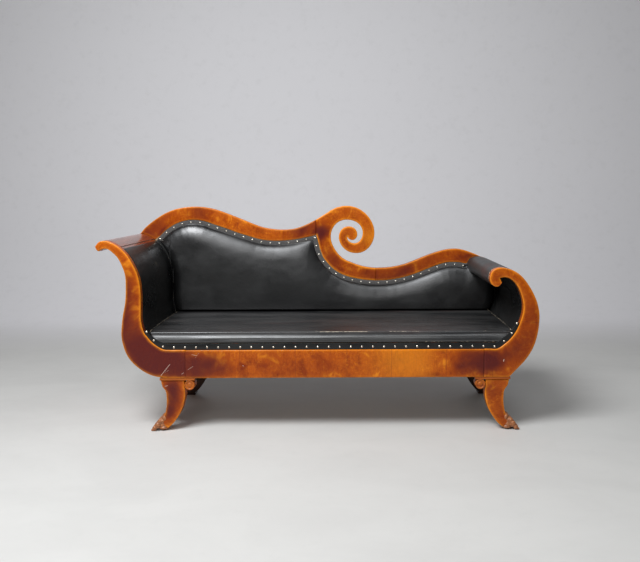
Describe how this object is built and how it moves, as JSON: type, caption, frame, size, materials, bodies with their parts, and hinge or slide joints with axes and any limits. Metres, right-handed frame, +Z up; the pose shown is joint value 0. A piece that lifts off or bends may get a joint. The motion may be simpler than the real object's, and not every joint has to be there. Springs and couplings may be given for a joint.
{
  "type": "recamier",
  "caption": "Recamier sofa with a high scrolled arm, a low in-scrolled arm, a shaped back with a volute, sabre legs and black leather upholstery.",
  "frame": {"origin": "centre of the sofa's bounding box, on the floor that its feet stand on", "axes": "+X along the length from the high arm to the low arm, +Y from the front to the back, +Z up"},
  "size_m": [1.9001, 0.65, 0.9684],
  "materials": {
    "veneered_birch": "flame birch veneer, amber orange to red brown, french polished, lighter worn edges",
    "stained_wood": "dark stained wood, dull varnish",
    "carved_wood": "carved light brown wood, worn varnish",
    "frame_wood": "bare sawn softwood",
    "dowels": "turned bare wood",
    "black_leather": "old black leather, satin, fine grain, creased, pale where worn",
    "black_cloth": "plain black cotton cloth",
    "hessian": "open jute hessian",
    "webbing": "woven jute webbing",
    "gimp": "woven gimp strip, faded grey brown",
    "domed_nails": "pale worn brass",
    "small_nails": "dark tarnished iron",
    "screws": "plain steel"
  },
  "bodies": {
    "root": {"front_rail": "veneered_birch", "rear_rail": "veneered_birch", "left_side_rail": "frame_wood", "right_side_rail": "frame_wood", "front_left_post": "veneered_birch", "front_right_post": "veneered_birch", "rear_left_post": "veneered_birch", "rear_right_post": "veneered_birch", "seat_crossbar_left": "frame_wood", "seat_crossbar_middle": "frame_wood", "seat_crossbar_right": "frame_wood", "front_left_leg": "veneered_birch", "front_right_leg": "veneered_birch", "rear_left_leg": "stained_wood", "rear_right_leg": "stained_wood", "front_left_leg_plate": "veneered_birch", "front_right_leg_plate": "veneered_birch", "front_left_roundel": "veneered_birch", "front_right_roundel": "veneered_birch", "front_left_paw": "carved_wood", "front_right_paw": "carved_wood", "leg_dowels": "dowels", "front_left_corner_block": "frame_wood", "front_right_corner_block": "frame_wood", "rear_left_corner_block": "frame_wood", "rear_right_corner_block": "frame_wood", "corner_block_screws": "screws", "rail_pegs": "dowels", "crest_left": "veneered_birch", "crest_volute": "veneered_birch", "crest_right": "veneered_birch", "crest_dowels": "dowels", "back_bottom_rail": "frame_wood", "back_upright_left": "frame_wood", "back_upright_right": "frame_wood", "back_cover": "black_cloth", "back_hessian": "hessian", "back_pad": "black_leather", "back_gimp_left": "gimp", "back_gimp_right": "gimp", "back_nails": "domed_nails", "webbing_long": "webbing", "webbing_cross": "webbing", "seat_hessian": "hessian", "seat_pad": "black_leather", "seat_gimp": "gimp", "seat_nails": "domed_nails", "left_scroll_rail": "frame_wood", "left_arm_rail": "frame_wood", "left_arm_pad": "black_leather", "left_arm_top_board": "veneered_birch", "left_arm_outer_panel": "veneered_birch", "left_arm_nails": "small_nails", "right_scroll_rail": "frame_wood", "right_arm_rail": "frame_wood", "right_arm_pad": "black_leather", "right_arm_roll": "black_leather", "right_arm_outer_cover": "black_leather"}
  },
  "joints": []
}
